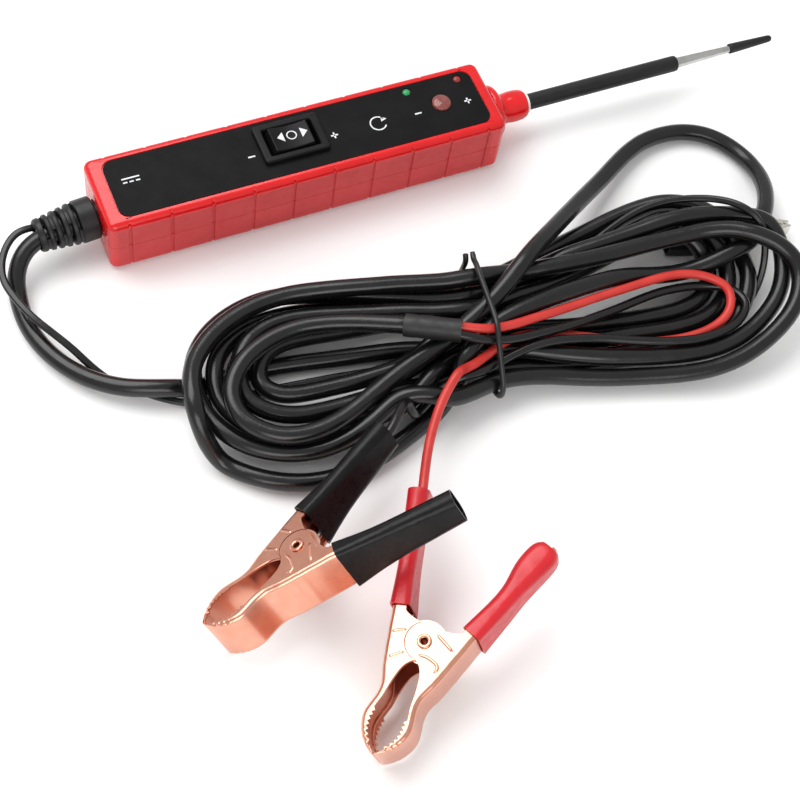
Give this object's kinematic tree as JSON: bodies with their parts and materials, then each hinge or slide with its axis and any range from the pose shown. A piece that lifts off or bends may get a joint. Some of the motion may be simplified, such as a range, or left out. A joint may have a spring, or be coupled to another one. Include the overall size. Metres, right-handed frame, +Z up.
{
  "type": "circuit test light",
  "caption": "Hand-held powered automotive circuit probe with rocker switch, needle tip, coiled supply cable, two battery clips and a ground clip.",
  "frame": {"origin": "centre of the handset's flat underside, on the bench", "axes": "+X along the handset towards the needle probe, +Y across the handset away from the coil, +Z up out of the switch face"},
  "size_m": [0.3125, 0.2291, 0.0526],
  "materials": {
    "red_case": "moulded ABS, glossy on the top rim, fine texture on the sides",
    "face_print": "printed polycarbonate label, satin",
    "black_moulded": "moulded, satin",
    "black_pvc": "extruded PVC jacket, soft sheen",
    "red_pvc": "extruded PVC insulation",
    "black_sleeving": "vinyl sleeving, satin",
    "red_sleeving": "vinyl sleeving, soft gloss",
    "copper_plate": "copper-plated pressed steel, bright",
    "spring_steel": "drawn wire",
    "nickel_plate": "nickel plate",
    "zinc_steel": "zinc plated",
    "contact_brass": "rolled strip",
    "lamp_red": "tinted translucent resin",
    "lamp_green": "tinted translucent resin",
    "lamp_glass": "clear bulb",
    "board": "solder-masked glass epoxy",
    "white_liner": "moulded nylon",
    "tie_wire": "plastic-coated wire"
  },
  "bodies": {
    "handset": {"black_clip_fixed_jaw": "copper_plate", "black_clip_fixed_sleeve": "black_sleeving", "black_clip_rivet": "copper_plate", "black_clip_spring": "spring_steel", "black_lead": "black_pvc", "cable_tie": "tie_wire", "circuit_board": "board", "face_label": "face_print", "green_led": "lamp_green", "ground_clip_boot": "black_sleeving", "ground_clip_fixed_jaw": "nickel_plate", "ground_clip_pin": "nickel_plate", "ground_clip_spring": "spring_steel", "ground_wire": "black_pvc", "housing_screw_1": "zinc_steel", "housing_screw_2": "zinc_steel", "housing_screw_3": "zinc_steel", "housing_screw_4": "zinc_steel", "lamp_bulb": "lamp_glass", "lamp_lens": "lamp_red", "lower_shell": "red_case", "main_cable": "black_pvc", "probe_gland": "red_case", "probe_liner": "white_liner", "probe_rod": "nickel_plate", "probe_sleeve": "black_sleeving", "probe_wire": "red_pvc", "red_clip_fixed_jaw": "copper_plate", "red_clip_fixed_sleeve": "red_sleeving", "red_clip_rivet": "copper_plate", "red_clip_spring": "spring_steel", "red_lead": "red_pvc", "red_led": "lamp_red", "rocker_pin": "zinc_steel", "shrink_sleeve": "black_sleeving", "strain_relief": "black_moulded", "supply_core_black": "black_pvc", "supply_core_red": "red_pvc", "switch_body": "black_moulded", "switch_terminal_left": "contact_brass", "switch_terminal_middle": "contact_brass", "switch_terminal_right": "contact_brass", "thermal_breaker": "zinc_steel", "upper_shell": "red_case"},
    "rocker": {"rocker_button": "black_moulded"},
    "black_jaw": {"black_clip_moving_jaw": "copper_plate", "black_clip_moving_sleeve": "black_sleeving"},
    "red_jaw": {"red_clip_moving_jaw": "copper_plate", "red_clip_moving_sleeve": "red_sleeving"},
    "ground_jaw": {"ground_clip_moving_jaw": "nickel_plate"},
    "tip_cap": {"probe_tip_cap": "black_sleeving"}
  },
  "joints": [
    {"name": "rocker_tilt", "type": "hinge", "parent": "handset", "child": "rocker", "pos_m": [-0.003, 0.0014, 0.024], "axis": [0, 1, 0], "range_deg": [-8, 8], "stiffness_Nm_per_rad": 0.02},
    {"name": "black_clip_open", "type": "hinge", "parent": "handset", "child": "black_jaw", "pos_m": [-0.0574, -0.1464, 0.0276], "axis": [-0.3931, 0.4421, 0.8062], "range_deg": [0, 30], "deforming": ["black_clip_spring"]},
    {"name": "red_clip_open", "type": "hinge", "parent": "handset", "child": "red_jaw", "pos_m": [-0.0316, -0.1873, 0.0233], "axis": [-0.2869, 0.017, 0.9578], "range_deg": [0, 30], "deforming": ["red_clip_spring"]},
    {"name": "ground_clip_open", "type": "hinge", "parent": "handset", "child": "ground_jaw", "pos_m": [0.146, -0.0736, 0.0078], "axis": [0, 0, 1], "range_deg": [0, 20], "deforming": ["ground_clip_spring"]},
    {"name": "tip_cap_slide", "type": "slide", "parent": "handset", "child": "tip_cap", "axis": [1, 0, 0], "range_m": [0, 0.024]}
  ]
}
